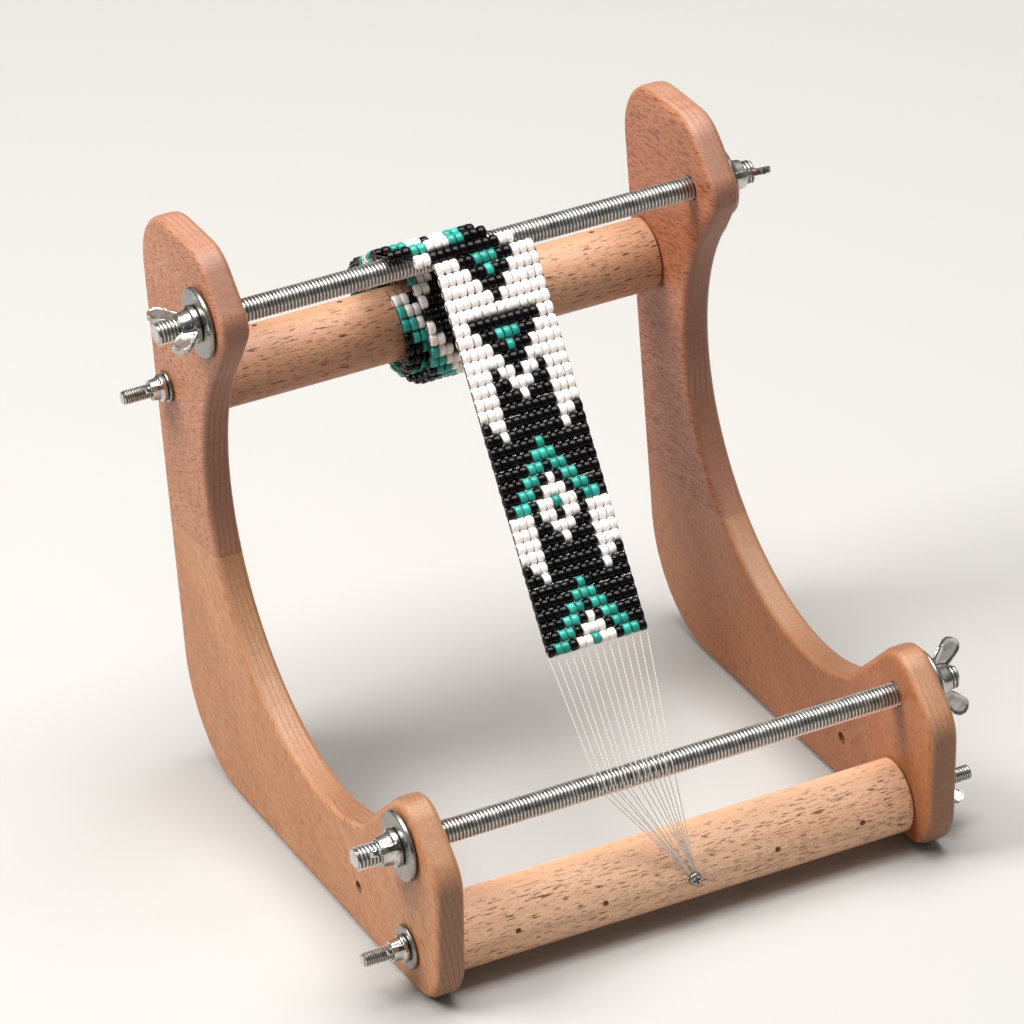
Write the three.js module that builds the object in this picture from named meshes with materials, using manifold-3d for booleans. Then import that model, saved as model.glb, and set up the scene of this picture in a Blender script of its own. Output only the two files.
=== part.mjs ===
// A table bead loom: two beech side panels carry two threaded rods and two turning dowels.
// The warp is tied to the front dowel, runs over both rods, and the finished beadwork is wound
// on the rear dowel. Wing nuts clamp the rods and the dowels between the panels.
// Millimetres. +X runs along the rods to the right, -Y points to the user, +Z is up.
// The sizes below are measured from the middle of the panels' base. The origin of the finished
// group is under the middle of the whole loom, the wound work included.
import * as THREE from 'three';
import { mergeVertices } from 'three/addons/utils/BufferGeometryUtils.js';
import Module from 'manifold-3d';

const wasm = await Module();
wasm.setup();

// Clearances
const SEAT_GAP = 0.3;

// Side panels: board thickness, clear space between them and the places of the four axes
const PANEL_THICKNESS = 10;
const PANEL_SPACING = 166;
const EDGE_ROUND = 2.5;
const PANEL_REAR = 103;
const MIDDLE_BEHIND_PANELS = 5.3;
const PANEL_TOP = 208.5;
const REAR_ROD_AT = new THREE.Vector2(52, 184);
const FRONT_ROD_AT = new THREE.Vector2(-79, 55);
const REAR_DOWEL_AT = new THREE.Vector2(90, 144);
const FRONT_DOWEL_AT = new THREE.Vector2(-76.5, 16);
const SPARE_HOLE_AT = new THREE.Vector2(-37.5, 17.5);
const SPARE_HOLE_DIAMETER = 4.5;

// The large hollow of the panel that keeps the hands clear of the warp
const HOLLOW_CENTRE = new THREE.Vector2(-12.5, 116.5);
const HOLLOW_RADIUS = 78;
const HOLLOW_FROM = THREE.MathUtils.degToRad(-113);
const HOLLOW_TO = THREE.MathUtils.degToRad(43);

// Metal stock: M8 rods and M5 hanger bolts with their washers and wing nuts
const ROD = { diameter: 8, length: 215, chamfer: 0.8, sides: 24 };
const REAR_ROD_SHIFT = -2;
const FRONT_ROD_SHIFT = -2.5;
const BOLT = { diameter: 5, length: 50, proud: 16.5, chamfer: 0.6, taper: 9, tip: 1.2, sides: 16 };
const ROD_WASHER = { outer: 24, thickness: 2, sides: 28 };
const WIDE_BOLT_WASHER = { outer: 15, thickness: 1.2, sides: 24 };
const PLAIN_BOLT_WASHER = { outer: 11, thickness: 1.2, sides: 24 };
const ROD_NUT = { foot: 13, neck: 10.6, height: 6.2, wing: 13.4, rise: 12.3, tip: 3.3, plate: 2.4 };
const BOLT_NUT = { foot: 9.4, neck: 7.6, height: 4.8, wing: 9.6, rise: 8.8, tip: 2.3, plate: 1.9 };

// Turning dowels with a row of warp holes, one of which holds a screw
const DOWEL_DIAMETER = 25;
const DOWEL_CHAMFER = 0.6;
const DOWEL_SIDES = 40;
const WARP_HOLES = 5;
const WARP_HOLE_DIAMETER = 2.2;
const WARP_HOLE_DEPTH = 12;
const WARP_HOLE_PITCH = 31;
const WARP_HOLE_SHIFT = 1.8;
const FRONT_HOLES_FACE = THREE.MathUtils.degToRad(174);
const SCREW = { shank: 1.6, length: 10, head: 4.6, rise: 1.7, neck: 1.6 };

// Beadwork: thirteen beads to a row, rows a bead apart and drawn tighter towards the free end
const BEADS_PER_ROW = 13;
const BEAD_WIDTH = 2.72;
const BEAD_DIAMETER = 3.6;
const ROW_WAIST = 0.5;
const ROW_PITCH_FREE = 3.8;
const ROW_PITCH_ROD = 4.45;
const GROWING_ROWS = 30;
const FREE_LENGTH = 138.6;
const STRIP_DRIFT = 0.0915;
const STRIP_AT_ROD = 4.2;
const CREST_LEAD = 7;
const CREST_SHIFT = -17;
const ROLL_TOP_SHIFT = -5.5;
const OUTER_TURN_SHIFT = 6.5;
const INNER_TURN_SHIFT = -1;
const WINDING_TURNS = 1.88;
const WINDING_STEP = 4.2;

// Warp threads
const THREAD_DIAMETER = 0.45;
const THREAD_PITCH_AT_ROD = 2;

const OUTER_FACE = PANEL_SPACING / 2 + PANEL_THICKNESS;
const INNER_FACE = PANEL_SPACING / 2;
const rodRadius = ROD.diameter / 2;
const boltRadius = BOLT.diameter / 2;
const dowelRadius = DOWEL_DIAMETER / 2;

const beech = new THREE.MeshStandardMaterial({ color: 0xc99468, roughness: 0.6, metalness: 0 });
const paleBeech = new THREE.MeshStandardMaterial({ color: 0xd9b187, roughness: 0.6, metalness: 0 });
const zincSteel = new THREE.MeshStandardMaterial({ color: 0xb4b6b8, roughness: 0.3, metalness: 1 });
const brightSteel = new THREE.MeshStandardMaterial({ color: 0xd4d5d6, roughness: 0.2, metalness: 1 });
const glassBeads = new THREE.MeshStandardMaterial({ color: 0x2b8f86, roughness: 0.25, metalness: 0 });
const nylon = new THREE.MeshStandardMaterial({ color: 0xd8cfc2, roughness: 0.5, metalness: 0 });

// A closed surface as a solid for cutting and joining
function toSolid(geometry) {
  const bare = geometry.index ? geometry.toNonIndexed() : geometry.clone();
  bare.deleteAttribute('normal');
  bare.deleteAttribute('uv');
  const merged = mergeVertices(bare, 1e-4);
  const mesh = new wasm.Mesh({
    numProp: 3,
    vertProperties: new Float32Array(merged.attributes.position.array),
    triVerts: new Uint32Array(merged.index.array),
  });
  return new wasm.Manifold(mesh);
}

// The surface of a solid
function toGeometry(solid) {
  const mesh = solid.getMesh();
  const geometry = new THREE.BufferGeometry();
  geometry.setAttribute('position', new THREE.BufferAttribute(new Float32Array(mesh.vertProperties), 3));
  geometry.setIndex(new THREE.BufferAttribute(new Uint32Array(mesh.triVerts), 1));
  geometry.computeVertexNormals();
  return geometry;
}

// A profile of [radius, distance] pairs turned about the X axis
function turned(profile, sides) {
  const points = profile.map(([radius, along]) => new THREE.Vector2(radius, along));
  return new THREE.LatheGeometry(points, sides).rotateZ(-Math.PI / 2);
}

// A round bar about X, chamfered at both ends, that starts at x = 0
function bar(radius, length, chamfer, sides) {
  return turned([
    [0, 0],
    [radius - chamfer, 0],
    [radius, chamfer],
    [radius, length - chamfer],
    [radius - chamfer, length],
    [0, length],
  ], sides);
}

// A ring about X that starts at x = 0
function ring(inner, outer, thickness, sides) {
  return turned([
    [inner, 0],
    [outer, 0],
    [outer, thickness],
    [inner, thickness],
    [inner, 0],
  ], sides);
}

// A shape drawn in (y, z) and extruded along +X from x = 0
function extrudedAlongX(shape, options) {
  const turn = new THREE.Matrix4().set(0, 0, 1, 0, 1, 0, 0, 0, 0, 1, 0, 0, 0, 0, 0, 1);
  return new THREE.ExtrudeGeometry(shape, options).applyMatrix4(turn);
}

// Adds a corner of the outline at p, between a and b, rounded to the given radius
function addRoundedCorner(points, a, p, b, radius, steps) {
  const toA = a.clone().sub(p).normalize();
  const toB = b.clone().sub(p).normalize();
  const half = Math.acos(THREE.MathUtils.clamp(toA.dot(toB), -1, 1)) / 2;
  const centre = toA.clone().add(toB).normalize().multiplyScalar(radius / Math.sin(half)).add(p);
  const start = toA.multiplyScalar(radius / Math.tan(half)).add(p).sub(centre);
  const end = toB.multiplyScalar(radius / Math.tan(half)).add(p).sub(centre);
  let sweep = end.angle() - start.angle();
  sweep -= 2 * Math.PI * Math.round(sweep / (2 * Math.PI));
  for (let i = 0; i <= steps; i++) {
    points.push(start.clone().rotateAround(new THREE.Vector2(), (sweep * i) / steps).add(centre));
  }
}

// The panel's outline: one large hollow arc, a head round the rear rod and a lobe round the
// front rod. Each corner is a place and a radius.
function panelOutline() {
  const headNose = new THREE.Vector2(REAR_ROD_AT.x - 20, REAR_ROD_AT.y + 3);
  const headBrow = new THREE.Vector2(REAR_ROD_AT.x, PANEL_TOP);
  const headBack = new THREE.Vector2(PANEL_REAR, PANEL_TOP);
  const heel = new THREE.Vector2(PANEL_REAR, 0);
  const toe = new THREE.Vector2(FRONT_DOWEL_AT.x - 20, 0);
  const lobeFront = new THREE.Vector2(FRONT_ROD_AT.x - 25, FRONT_ROD_AT.y - 2);
  const lobeTop = new THREE.Vector2(FRONT_ROD_AT.x - 1, FRONT_ROD_AT.y + 20);
  const onHollow = (angle) => new THREE.Vector2(
    HOLLOW_CENTRE.x + HOLLOW_RADIUS * Math.cos(angle),
    HOLLOW_CENTRE.y + HOLLOW_RADIUS * Math.sin(angle),
  );
  const corners = [
    { at: headNose, radius: 9, steps: 6 },
    { at: headBrow, radius: 18, steps: 4 },
    { at: headBack, radius: 24, steps: 9 },
    { at: heel, radius: 38, steps: 12 },
    { at: toe, radius: 20, steps: 8 },
    { at: lobeFront, radius: 14, steps: 4 },
    { at: lobeTop, radius: 13, steps: 7 },
    { at: onHollow(HOLLOW_FROM - 0.02), radius: 7, steps: 3 },
  ];
  const points = [];
  const arcSteps = 40;
  const firstOnArc = HOLLOW_FROM + 0.05;
  for (let i = 0; i <= arcSteps; i++) {
    points.push(onHollow(firstOnArc + ((HOLLOW_TO - firstOnArc) * i) / arcSteps));
  }
  corners.forEach((corner, i) => {
    const before = i === 0 ? onHollow(HOLLOW_TO) : corners[i - 1].at;
    const after = i === corners.length - 1 ? onHollow(firstOnArc) : corners[i + 1].at;
    addRoundedCorner(points, before, corner.at, after, corner.radius, corner.steps);
  });
  return points;
}

// A panel with rounded edges, bored for both rods, both bolts and the spare hole
function panelGeometry() {
  const board = toSolid(extrudedAlongX(new THREE.Shape(panelOutline()), {
    depth: PANEL_THICKNESS - 2 * EDGE_ROUND,
    bevelThickness: EDGE_ROUND,
    bevelSize: EDGE_ROUND,
    bevelOffset: -EDGE_ROUND,
    bevelSegments: 3,
  }).translate(EDGE_ROUND, 0, 0));
  const holes = [
    [REAR_ROD_AT, rodRadius + SEAT_GAP, ROD.sides],
    [FRONT_ROD_AT, rodRadius + SEAT_GAP, ROD.sides],
    [REAR_DOWEL_AT, boltRadius + SEAT_GAP, BOLT.sides],
    [FRONT_DOWEL_AT, boltRadius + SEAT_GAP, BOLT.sides],
    [SPARE_HOLE_AT, SPARE_HOLE_DIAMETER / 2, BOLT.sides],
  ];
  return toGeometry(holes.reduce((solid, [at, radius, sides]) => {
    const cutter = bar(radius, PANEL_THICKNESS + 2, 0, sides).translate(-1, at.x, at.y);
    return solid.subtract(toSolid(cutter));
  }, board));
}

// The x of each warp hole along a dowel
function warpHoleX(index) {
  return WARP_HOLE_SHIFT + (index - (WARP_HOLES - 1) / 2) * WARP_HOLE_PITCH;
}

// A dowel about the X axis, bored at both ends for its hanger bolts, with its warp holes at +Z
function dowelGeometry() {
  const length = PANEL_SPACING - 2 * SEAT_GAP;
  const wood = toSolid(bar(dowelRadius, length, DOWEL_CHAMFER, DOWEL_SIDES).translate(-length / 2, 0, 0));
  const boreDepth = boltInsideDowel() + SEAT_GAP;
  const bore = bar(boltRadius + SEAT_GAP, boreDepth + 1, 0, BOLT.sides);
  const rightBore = toSolid(bore.clone().translate(length / 2 - boreDepth, 0, 0));
  const leftBore = toSolid(bore.clone().translate(-length / 2 - 1, 0, 0));
  let solid = wood.subtract(rightBore).subtract(leftBore);
  for (let i = 0; i < WARP_HOLES; i++) {
    const hole = bar(WARP_HOLE_DIAMETER / 2, WARP_HOLE_DEPTH + 1, 0, 10).rotateY(-Math.PI / 2);
    solid = solid.subtract(toSolid(hole.translate(warpHoleX(i), 0, dowelRadius - WARP_HOLE_DEPTH)));
  }
  return toGeometry(solid);
}

// How far a hanger bolt reaches into the dowel's end
function boltInsideDowel() {
  return BOLT.length - BOLT.proud - PANEL_THICKNESS - SEAT_GAP;
}

// A hanger bolt about X: machine thread at its outer end, a tapered wood thread inside the dowel
function boltGeometry() {
  return turned([
    [0, 0],
    [BOLT.tip, 0],
    [boltRadius, BOLT.taper],
    [boltRadius, BOLT.length - BOLT.chamfer],
    [boltRadius - BOLT.chamfer, BOLT.length],
    [0, BOLT.length],
  ], BOLT.sides);
}

// A wing nut about X with its foot at x = 0 and its wings along +Y and -Y
function wingNutGeometry(nut, boreRadius, sides) {
  const hub = toSolid(turned([
    [0, 0],
    [nut.foot / 2, 0],
    [nut.foot / 2, nut.height * 0.25],
    [nut.neck / 2, nut.height],
    [0, nut.height],
  ], 20));
  const ear = new THREE.Shape();
  const root = boreRadius + 0.5;
  ear.moveTo(root, nut.height * 0.18);
  ear.quadraticCurveTo(nut.wing * 0.62, nut.height * 0.12, nut.wing - nut.tip * 0.1, nut.rise - nut.tip * 1.5);
  ear.absarc(nut.wing - nut.tip, nut.rise - nut.tip, nut.tip, -0.5, 2.4, false);
  ear.quadraticCurveTo(nut.wing * 0.5, nut.height * 0.95, root, nut.height * 0.92);
  ear.closePath();
  const plate = new THREE.ExtrudeGeometry(ear, {
    depth: nut.plate * 0.5,
    bevelThickness: nut.plate * 0.25,
    bevelSize: nut.plate * 0.22,
    bevelOffset: -nut.plate * 0.22,
    bevelSegments: 1,
    curveSegments: 6,
  }).translate(0, 0, -nut.plate * 0.25);
  const lay = new THREE.Matrix4().set(0, 1, 0, 0, 1, 0, 0, 0, 0, 0, -1, 0, 0, 0, 0, 1);
  const rightWing = plate.clone().applyMatrix4(lay);
  const leftWing = rightWing.clone().rotateX(Math.PI);
  const bore = bar(boreRadius, nut.height + 2, 0, sides).translate(-1, 0, 0);
  return toGeometry(hub.add(toSolid(rightWing)).add(toSolid(leftWing)).subtract(toSolid(bore)));
}

// A pan head screw along X with its head outwards
function screwGeometry() {
  const underHead = SCREW.length;
  return turned([
    [0, 0],
    [SCREW.shank / 2, 2],
    [SCREW.shank / 2, underHead],
    [SCREW.head / 2, underHead],
    [SCREW.head / 2, underHead + SCREW.rise * 0.5],
    [SCREW.head * 0.32, underHead + SCREW.rise],
    [0, underHead + SCREW.rise],
  ], 14);
}

// The direction, as an angle in (y, z), of the outer side of a band that runs from a circle
// about c1 to a circle about c2 and touches both on the same side
function bandNormal(c1, r1, c2, r2) {
  const across = c2.clone().sub(c1);
  return across.angle() + Math.acos((r1 - r2) / across.length());
}

function polar(centre, radius, angle) {
  return new THREE.Vector2(centre.x + radius * Math.cos(angle), centre.y + radius * Math.sin(angle));
}

// Where the middle of the beadwork runs, seen from the side. It is measured along the work from
// the free end: straight to the rear rod, over it, straight to the rear dowel, and round it.
const workOverRod = rodRadius + SEAT_GAP + BEAD_DIAMETER / 2;
const threadOverRod = rodRadius + SEAT_GAP + THREAD_DIAMETER / 2;
const windingInner = dowelRadius + SEAT_GAP + BEAD_DIAMETER / 2;
const windingOuter = windingInner + WINDING_STEP * WINDING_TURNS;
const warpNormal = bandNormal(FRONT_ROD_AT, threadOverRod, REAR_ROD_AT, workOverRod);
const flapNormal = bandNormal(REAR_ROD_AT, workOverRod, REAR_DOWEL_AT, windingOuter) - 2 * Math.PI;
const warpStart = polar(REAR_ROD_AT, workOverRod, warpNormal);
const flapStart = polar(REAR_ROD_AT, workOverRod, flapNormal);
const windingStart = polar(REAR_DOWEL_AT, windingOuter, flapNormal);
const overRodLength = (warpNormal - flapNormal) * workOverRod;
const flapLength = flapStart.distanceTo(windingStart);
const windingSweep = WINDING_TURNS * 2 * Math.PI;
const windingLength = windingSweep * (windingInner + windingOuter) / 2;
const stripLength = FREE_LENGTH + overRodLength + flapLength;

// A point of the work, its outward normal and its place across the loom, at a length from the end
function workAt(length) {
  const x = acrossAt(length);
  if (length <= FREE_LENGTH) {
    const left = FREE_LENGTH - length;
    const along = new THREE.Vector2(-Math.sin(warpNormal), Math.cos(warpNormal)).multiplyScalar(left);
    return { at: warpStart.clone().add(along), normal: warpNormal, x };
  }
  const past = length - FREE_LENGTH;
  if (past <= overRodLength) {
    const angle = warpNormal - past / workOverRod;
    return { at: polar(REAR_ROD_AT, workOverRod, angle), normal: angle, x };
  }
  if (past <= overRodLength + flapLength) {
    const share = (past - overRodLength) / flapLength;
    return { at: flapStart.clone().lerp(windingStart, share), normal: flapNormal, x };
  }
  const share = woundShare(length - stripLength);
  const radius = windingOuter - (windingOuter - windingInner) * share;
  const angle = flapNormal - windingSweep * share;
  return { at: polar(REAR_DOWEL_AT, radius, angle), normal: angle, x };
}

// Where the middle of the work lies across the loom: it drifts up the warp, is dragged to the
// left over the rear rod, and comes back to the right as it is wound on the dowel
function acrossAt(length) {
  const between = (from, to) => THREE.MathUtils.smoothstep(length, from, to);
  const crest = FREE_LENGTH + 0.75 * overRodLength;
  const outerTurn = stripLength + 0.35 * windingLength;
  return STRIP_AT_ROD - STRIP_DRIFT * Math.max(FREE_LENGTH - length, 0)
    + CREST_SHIFT * between(FREE_LENGTH - CREST_LEAD, crest)
    + (ROLL_TOP_SHIFT - CREST_SHIFT) * between(crest, stripLength)
    + (OUTER_TURN_SHIFT - ROLL_TOP_SHIFT) * between(stripLength, outerTurn)
    + (INNER_TURN_SHIFT - OUTER_TURN_SHIFT) * between(outerTurn, stripLength + windingLength);
}

// The share of the winding's sweep at a length along it, on a radius that shrinks evenly
function woundShare(length) {
  const shrink = windingOuter - windingInner;
  const perSweep = length / windingSweep;
  return (windingOuter - Math.sqrt(Math.max(windingOuter ** 2 - 2 * shrink * perSweep, 0))) / shrink;
}

// The length from the free end to the middle of a row
function rowAt(row) {
  const growing = Math.min(row, GROWING_ROWS);
  const growth = (ROW_PITCH_ROD - ROW_PITCH_FREE) / GROWING_ROWS;
  const first = BEAD_DIAMETER / 2;
  return first + ROW_PITCH_FREE * growing + (growth * growing * growing) / 2
    + ROW_PITCH_ROD * (row - growing);
}

// A ribbon of bead rows between two lengths: each row is a rib, and the ribs are one body
function beadRows(from, to) {
  const half = (BEADS_PER_ROW * BEAD_WIDTH) / 2;
  const rib = [[-0.5, ROW_WAIST], [-0.28, 0.86], [0, 1], [0.28, 0.86]];
  const stations = [{ length: from, thick: ROW_WAIST }];
  for (let row = 0; rowAt(row) < to; row++) {
    const pitch = rowAt(row + 0.5) - rowAt(row - 0.5);
    rib.forEach(([share, thick]) => stations.push({ length: rowAt(row) + share * pitch, thick }));
  }
  stations.push({ length: to, thick: ROW_WAIST });
  const kept = stations.filter((s, i) => i === 0 || i === stations.length - 1
    || (s.length > from + 0.4 && s.length < to - 0.4));
  const positions = [];
  const index = [];
  kept.forEach((station) => {
    const { at, normal, x } = workAt(station.length);
    const lift = (BEAD_DIAMETER * station.thick) / 2;
    const outer = polar(at, lift, normal);
    const inner = polar(at, -lift, normal);
    positions.push(x - half, outer.x, outer.y, x + half, outer.x, outer.y);
    positions.push(x + half, inner.x, inner.y, x - half, inner.x, inner.y);
  });
  for (let i = 0; i + 1 < kept.length; i++) {
    for (let k = 0; k < 4; k++) {
      const a = 4 * i + k;
      const b = 4 * i + ((k + 1) % 4);
      index.push(a, b, b + 4, a, b + 4, a + 4);
    }
  }
  const last = 4 * (kept.length - 1);
  index.push(0, 2, 1, 0, 3, 2, last, last + 1, last + 2, last, last + 2, last + 3);
  const geometry = new THREE.BufferGeometry();
  geometry.setAttribute('position', new THREE.Float32BufferAttribute(positions, 3));
  geometry.setIndex(index);
  geometry.computeVertexNormals();
  return geometry;
}

// The least gap between neighbouring layers of the winding, measured on points of its middle line
function leastWindingGap() {
  let least = Infinity;
  const step = 1;
  for (let a = stripLength; a < stripLength + windingLength; a += step) {
    for (let b = a + windingInner * 5; b < stripLength + windingLength; b += step) {
      least = Math.min(least, workAt(a).at.distanceTo(workAt(b).at));
    }
  }
  return least - BEAD_DIAMETER;
}

// The warp: one thread on each side of every bead, from the free end of the work over the
// front rod and down to a turn round the neck of the front dowel's screw
function warpGeometry(screwTip, screwFace) {
  const threads = BEADS_PER_ROW + 1;
  const bends = 5;
  const ringInner = SCREW.shank / 2 + SEAT_GAP;
  const ringOuter = ringInner + 1;
  const ringThick = SCREW.neck - 2 * SEAT_GAP;
  const ringFoot = dowelRadius + SEAT_GAP;
  const wound = ring(ringInner, ringOuter, ringThick, 16)
    .translate(ringFoot, 0, 0)
    .rotateY(-Math.PI / 2)
    .rotateX(screwFace - Math.PI / 2)
    .translate(screwTip, FRONT_DOWEL_AT.x, FRONT_DOWEL_AT.y);
  const knot = polar(FRONT_DOWEL_AT, ringFoot + ringThick / 2, screwFace);
  const knotTop = knot.clone().add(new THREE.Vector2(0, ringInner + 0.5));
  const leave = bandNormal(knotTop, 0, FRONT_ROD_AT, threadOverRod);
  const free = workAt(0);
  const clear = new THREE.Vector2(-Math.sin(warpNormal), Math.cos(warpNormal)).multiplyScalar(SEAT_GAP);
  const start = free.at.clone().add(clear);
  const rodX = STRIP_AT_ROD - STRIP_DRIFT * warpStart.distanceTo(polar(FRONT_ROD_AT, threadOverRod, warpNormal));
  let solid = toSolid(wound);
  for (let i = 0; i < threads; i++) {
    const place = i - (threads - 1) / 2;
    const onRod = rodX + place * THREAD_PITCH_AT_ROD;
    const onScrew = screwTip + (place / threads) * ringInner;
    const route = [new THREE.Vector3(free.x + place * BEAD_WIDTH, start.x, start.y)];
    for (let k = 0; k <= bends; k++) {
      const touch = polar(FRONT_ROD_AT, threadOverRod, warpNormal + ((leave - warpNormal) * k) / bends);
      route.push(new THREE.Vector3(onRod, touch.x, touch.y));
    }
    route.push(new THREE.Vector3(onScrew, knotTop.x, knotTop.y));
    solid = solid.add(toSolid(threadAlong(route)));
  }
  return toGeometry(solid);
}

// Straight runs from point to point, met at equal steps of the parameter
class Runs extends THREE.Curve {
  constructor(points) {
    super();
    this.points = points;
  }

  getPoint(share) {
    const place = share * (this.points.length - 1);
    const run = Math.min(Math.floor(place), this.points.length - 2);
    return this.points[run].clone().lerp(this.points[run + 1], place - run);
  }

  getPointAt(share) {
    return this.getPoint(share);
  }

  getTangentAt(share) {
    return this.getTangent(share);
  }
}

// A thread of six sides along straight runs between points
function threadAlong(route) {
  const section = new THREE.Shape();
  section.absarc(0, 0, THREAD_DIAMETER / 2, 0, 2 * Math.PI, false);
  return new THREE.ExtrudeGeometry(section, {
    steps: route.length - 1,
    curveSegments: 3,
    bevelEnabled: false,
    extrudePath: new Runs(route),
  });
}

function addMesh(group, name, geometry, material) {
  const mesh = new THREE.Mesh(geometry, material);
  mesh.name = name;
  group.add(mesh);
  return mesh;
}

// Washer and wing nut on one end of a bar: side is -1 on the left and 1 on the right
function addClamp(loom, name, at, side, washer, nut, barRadius, barSides, wingTurn) {
  const end = new THREE.Group();
  end.position.set(side * (OUTER_FACE + SEAT_GAP), at.x, at.y);
  end.rotation.z = side < 0 ? Math.PI : 0;
  const bore = barRadius + SEAT_GAP;
  const sideName = side < 0 ? 'left' : 'right';
  addMesh(end, `${name}_washer_${sideName}`, ring(bore, washer.outer / 2, washer.thickness, washer.sides), brightSteel);
  const wingNut = addMesh(end, `${name}_wing_nut_${sideName}`, wingNutGeometry(nut, bore, barSides), brightSteel);
  wingNut.position.x = washer.thickness + SEAT_GAP;
  wingNut.rotation.x = side * THREE.MathUtils.degToRad(wingTurn);
  loom.add(end);
}

const loom = new THREE.Group();

const panel = panelGeometry();
addMesh(loom, 'left_panel', panel, beech).position.x = -OUTER_FACE;
addMesh(loom, 'right_panel', panel.clone(), beech).position.x = INNER_FACE;

// The rods, each with a washer and a wing nut at both ends
const rods = [
  { name: 'rear_rod', at: REAR_ROD_AT, shift: REAR_ROD_SHIFT, leftWing: 8, rightWing: 157 },
  { name: 'front_rod', at: FRONT_ROD_AT, shift: FRONT_ROD_SHIFT, leftWing: 148, rightWing: 76 },
];
rods.forEach(({ name, at, shift, leftWing, rightWing }) => {
  const rod = bar(rodRadius, ROD.length, ROD.chamfer, ROD.sides);
  addMesh(loom, name, rod, zincSteel).position.set(shift - ROD.length / 2, at.x, at.y);
  addClamp(loom, name, at, -1, ROD_WASHER, ROD_NUT, rodRadius, ROD.sides, leftWing);
  addClamp(loom, name, at, 1, ROD_WASHER, ROD_NUT, rodRadius, ROD.sides, rightWing);
});

// The dowels, each with two hanger bolts, two washers, two wing nuts and a warp screw.
// The rear dowel's screw sits just past the inner end of the winding.
const windingEnd = flapNormal - windingSweep;
const pastWinding = (ROW_PITCH_ROD * 0.5 + SCREW.head / 2 + 1) / windingInner;
const dowels = [
  {
    name: 'rear_dowel',
    at: REAR_DOWEL_AT,
    face: windingEnd - pastWinding,
    washer: PLAIN_BOLT_WASHER,
    leftWing: 150,
    rightWing: 80,
  },
  {
    name: 'front_dowel',
    at: FRONT_DOWEL_AT,
    face: FRONT_HOLES_FACE,
    washer: WIDE_BOLT_WASHER,
    leftWing: 146,
    rightWing: 30,
  },
];
const screwHole = Math.floor(WARP_HOLES / 2);
dowels.forEach(({ name, at, face, washer, leftWing, rightWing }) => {
  const roller = new THREE.Group();
  roller.position.set(0, at.x, at.y);
  roller.rotation.x = face - Math.PI / 2;
  addMesh(roller, name, dowelGeometry(), paleBeech);
  const screw = addMesh(roller, `${name}_screw`, screwGeometry().rotateY(-Math.PI / 2), zincSteel);
  screw.position.set(warpHoleX(screwHole), 0, dowelRadius + SCREW.neck - SCREW.length);
  loom.add(roller);
  [-1, 1].forEach((side) => {
    const sideName = side < 0 ? 'left' : 'right';
    const bolt = addMesh(loom, `${name}_bolt_${sideName}`, boltGeometry(), zincSteel);
    bolt.position.set(side * (OUTER_FACE + BOLT.proud - BOLT.length), at.x, at.y);
    bolt.rotation.z = side < 0 ? Math.PI : 0;
  });
  addClamp(loom, name, at, -1, washer, BOLT_NUT, boltRadius, BOLT.sides, leftWing);
  addClamp(loom, name, at, 1, washer, BOLT_NUT, boltRadius, BOLT.sides, rightWing);
});

// The work on the loom
addMesh(loom, 'beadwork_strip', beadRows(0, stripLength - SEAT_GAP / 2), glassBeads);
const windingTo = stripLength + windingLength;
addMesh(loom, 'beadwork_roll', beadRows(stripLength + SEAT_GAP / 2, windingTo), glassBeads);
addMesh(loom, 'warp_threads', warpGeometry(warpHoleX(screwHole), FRONT_HOLES_FACE), nylon);
console.log(`Least gap between layers of the winding: ${leastWindingGap().toFixed(2)} mm`);

loom.position.y = -MIDDLE_BEHIND_PANELS;

export default loom;
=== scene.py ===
import math
import random

import bmesh
import bpy
from mathutils import Matrix, Vector, noise


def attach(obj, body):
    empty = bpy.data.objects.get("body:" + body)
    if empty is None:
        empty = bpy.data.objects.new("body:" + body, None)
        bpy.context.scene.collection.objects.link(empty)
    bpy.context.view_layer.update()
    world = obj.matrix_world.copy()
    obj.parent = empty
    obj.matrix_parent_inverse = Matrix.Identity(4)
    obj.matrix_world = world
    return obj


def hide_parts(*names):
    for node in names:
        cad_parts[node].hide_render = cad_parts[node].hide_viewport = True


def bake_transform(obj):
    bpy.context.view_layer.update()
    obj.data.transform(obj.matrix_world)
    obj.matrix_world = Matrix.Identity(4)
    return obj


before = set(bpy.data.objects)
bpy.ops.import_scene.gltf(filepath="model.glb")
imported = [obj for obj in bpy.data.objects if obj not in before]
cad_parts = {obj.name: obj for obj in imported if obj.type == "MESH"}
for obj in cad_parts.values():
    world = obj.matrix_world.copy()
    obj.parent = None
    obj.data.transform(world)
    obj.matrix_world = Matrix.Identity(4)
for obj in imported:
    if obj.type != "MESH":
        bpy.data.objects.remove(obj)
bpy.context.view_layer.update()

# Camera
# The loom is seen from its left front and from above, through a long lens from two metres
# away, so its two side panels look almost parallel. The matrix is the camera's right, up and
# back, and its place in metres.
camera = bpy.data.objects.new("camera", bpy.data.cameras.new("camera"))
camera.data.sensor_width = 36
camera.data.lens = 246.09375
camera.data.clip_end = 20
camera.matrix_world = Matrix((
    (0.90101602, 0.26150564, -0.34609959, -0.79826624),
    (-0.42789447, 0.40474818, -0.80813689, -1.83961134),
    (-0.07124917, 0.87623839, 0.47658141, 1.19600675),
    (0, 0, 0, 1),
))
bpy.context.collection.objects.link(camera)
bpy.context.scene.camera = camera


# Studio
# A plain pale floor, one bright lamp from the upper left and a broad soft one overhead. The
# surround is pale above, and dim at the horizon and in front, so metal and glass mirror both.
def linear(hex_colour):
    """Turns an sRGB hex colour into the linear colour that a shader takes."""
    parts = [int(hex_colour[i:i + 2], 16) / 255 for i in (1, 3, 5)]
    return [p / 12.92 if p <= 0.04045 else ((p + 0.055) / 1.055) ** 2.4 for p in parts] + [1]


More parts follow.
